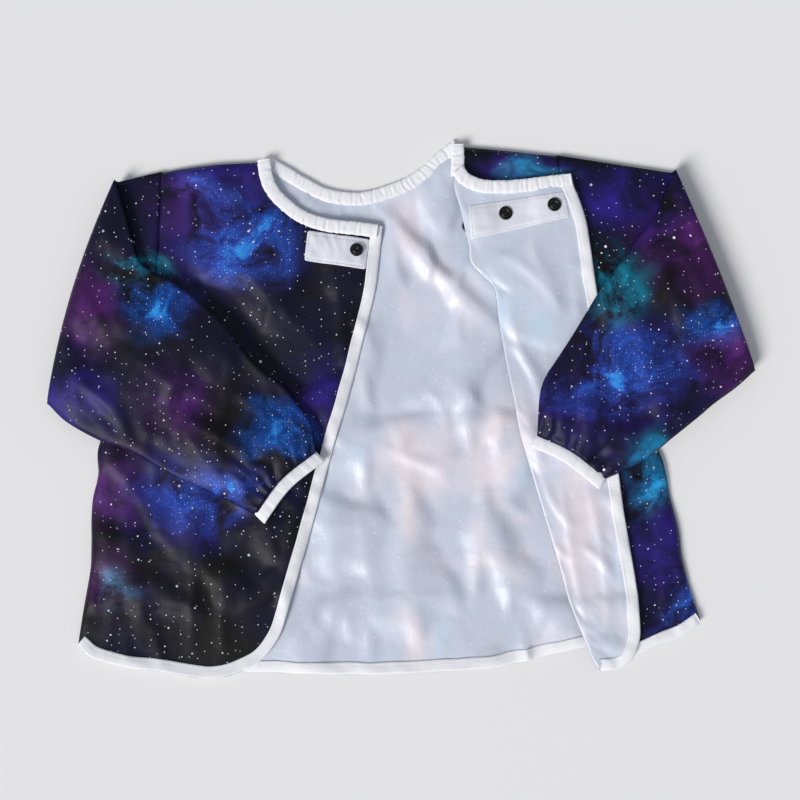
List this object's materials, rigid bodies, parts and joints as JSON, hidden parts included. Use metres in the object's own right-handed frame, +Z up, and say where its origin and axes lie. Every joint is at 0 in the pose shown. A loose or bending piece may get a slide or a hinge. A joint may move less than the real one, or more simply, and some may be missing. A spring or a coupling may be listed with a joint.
{
  "type": "artist smock apron",
  "caption": "Child's long-sleeved art smock, face down with the right back panel turned open and both sleeves folded in; bound edges, gathered neck and cuffs, snap closure.",
  "frame": {"origin": "centre of the bounding box's underside, on the table the smock lies on", "axes": "+Z up from the table, +Y from hem to neck, +X from the wearer's left sleeve to the right sleeve as it lies face down"},
  "size_m": [0.6332, 0.4824, 0.0245],
  "materials": {
    "printed_cloth": "woven polyester with a dark night-sky print, coated, satin sheen",
    "cloth_lining": "pale coated inner side of the printed cloth",
    "binding_tape": "white bias tape",
    "patch_cloth": "white woven reinforcement",
    "snap_plastic": "black moulded acetal, slight gloss",
    "elastic": "white braided elastic, hidden in the tunnels"
  },
  "bodies": {
    "garment": {"front_panel": "printed_cloth", "front_hem_binding": "binding_tape", "front_neck_casing": "binding_tape", "front_neck_elastic": "elastic", "left_back_side": "printed_cloth", "left_side_hem_binding": "binding_tape", "left_shoulder_casing": "binding_tape", "left_shoulder_elastic": "elastic", "left_sleeve_head": "printed_cloth", "right_back_side": "printed_cloth", "right_side_hem_binding": "binding_tape", "right_shoulder_casing": "binding_tape", "right_shoulder_elastic": "elastic", "right_sleeve_head": "printed_cloth", "right_side_snap_patch": "patch_cloth", "right_side_snap_cap": "snap_plastic", "right_side_snap_socket": "snap_plastic"},
    "left_back": {"left_back_panel": "printed_cloth", "left_edge_binding": "binding_tape", "left_neck_casing": "binding_tape", "left_neck_elastic": "elastic", "left_snap_patch": "patch_cloth", "left_snap_cap": "snap_plastic", "left_snap_stud": "snap_plastic"},
    "right_back": {"right_back_panel": "cloth_lining", "right_edge_binding": "binding_tape", "right_neck_casing": "binding_tape", "right_neck_elastic": "elastic", "right_snap_patch": "patch_cloth", "right_outer_snap_cap": "snap_plastic", "right_outer_snap_socket": "snap_plastic", "right_inner_snap_cap": "snap_plastic", "right_inner_snap_socket": "snap_plastic"},
    "left_arm": {"left_sleeve": "printed_cloth", "left_cuff_binding": "binding_tape", "left_cuff_elastic": "elastic"},
    "right_arm": {"right_sleeve": "printed_cloth", "right_cuff_binding": "binding_tape", "right_cuff_elastic": "elastic"}
  },
  "joints": [
    {"name": "left_back_opening", "type": "hinge", "parent": "garment", "child": "left_back", "pos_m": [-0.12456, 0.19676, 0.0105], "axis": [-0.1689, -0.9856, 0], "range_deg": [0, 170]},
    {"name": "right_back_closing", "type": "hinge", "parent": "garment", "child": "right_back", "pos_m": [0.04844, 0.19576, 0.0107], "axis": [0.2744, -0.9616, 0], "range_deg": [0, 170]},
    {"name": "left_sleeve_unfolding", "type": "hinge", "parent": "garment", "child": "left_arm", "pos_m": [-0.25381, 0.20388, 0.0104], "axis": [-0.3003, -0.9538, 0], "range_deg": [0, 170]},
    {"name": "right_sleeve_unfolding", "type": "hinge", "parent": "garment", "child": "right_arm", "pos_m": [0.31685, 0.03285, 0.01225], "axis": [-0.3807, 0.9247, 0], "range_deg": [0, 170]}
  ],
  "couplings": [
    {"joint": "left_sleeve_unfolding", "follows": "left_back_opening", "ratio": 1},
    {"joint": "right_sleeve_unfolding", "follows": "right_back_closing", "ratio": 1}
  ]
}
